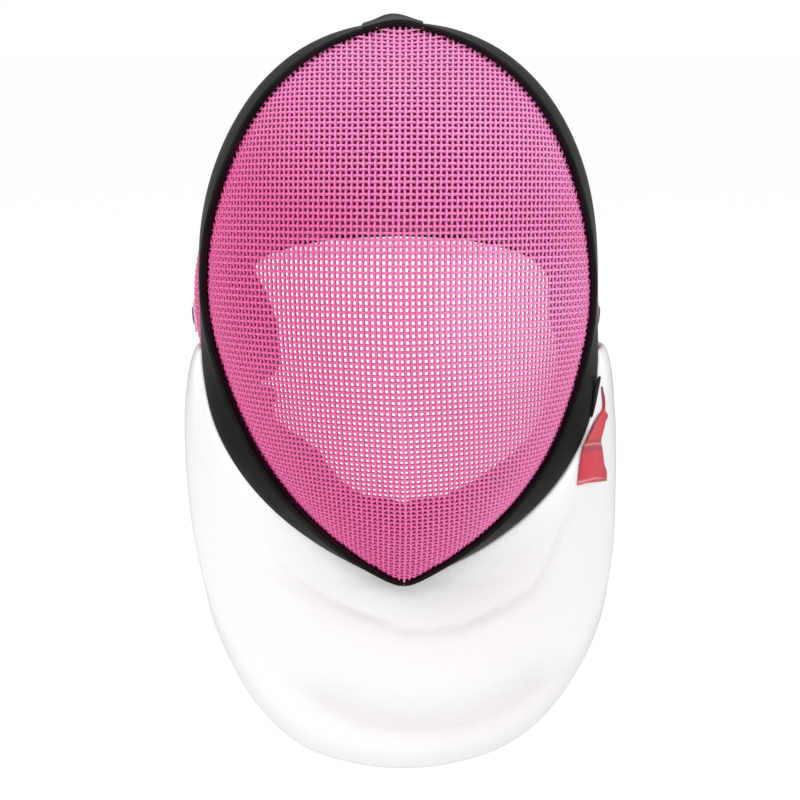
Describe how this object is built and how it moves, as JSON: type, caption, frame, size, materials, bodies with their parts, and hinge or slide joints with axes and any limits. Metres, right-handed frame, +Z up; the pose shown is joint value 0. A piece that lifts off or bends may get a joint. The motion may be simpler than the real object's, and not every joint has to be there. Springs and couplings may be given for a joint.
{
  "type": "fencing mask",
  "caption": "Fencing mask: ridged oval face of woven wire, mesh crown, black rim trim, padded lining and a padded bib over the throat",
  "frame": {"origin": "where the crown of the wearer's head rests against the underside of the crown padding, on the middle plane", "axes": "+Z up with the mask upright as on a head, -Y the way the face looks, +X the wearer's left side"},
  "size_m": [0.2278, 0.2362, 0.378],
  "materials": {
    "pink_wire": "pink enamel over woven steel wire",
    "black_trim": "black coated binding, faint sheen",
    "grey_cover": "dark grey coated cover",
    "dark_padding": "dark brushed cloth over foam",
    "white_cloth": "white padded cloth, fine weave",
    "red_tag": "red woven ribbon",
    "pale_elastic": "pale elastic webbing"
  },
  "bodies": {
    "root": {"face_mesh": "pink_wire", "crown_mesh": "pink_wire", "rim_trim": "black_trim", "trim_end": "black_trim", "rear_trim": "black_trim", "crown_tab": "grey_cover", "strap_anchor_left": "grey_cover", "strap_anchor_right": "grey_cover", "crown_pad": "dark_padding", "chin_pad": "dark_padding", "bib": "white_cloth", "side_tag": "red_tag", "back_strap": "pale_elastic"}
  },
  "joints": []
}
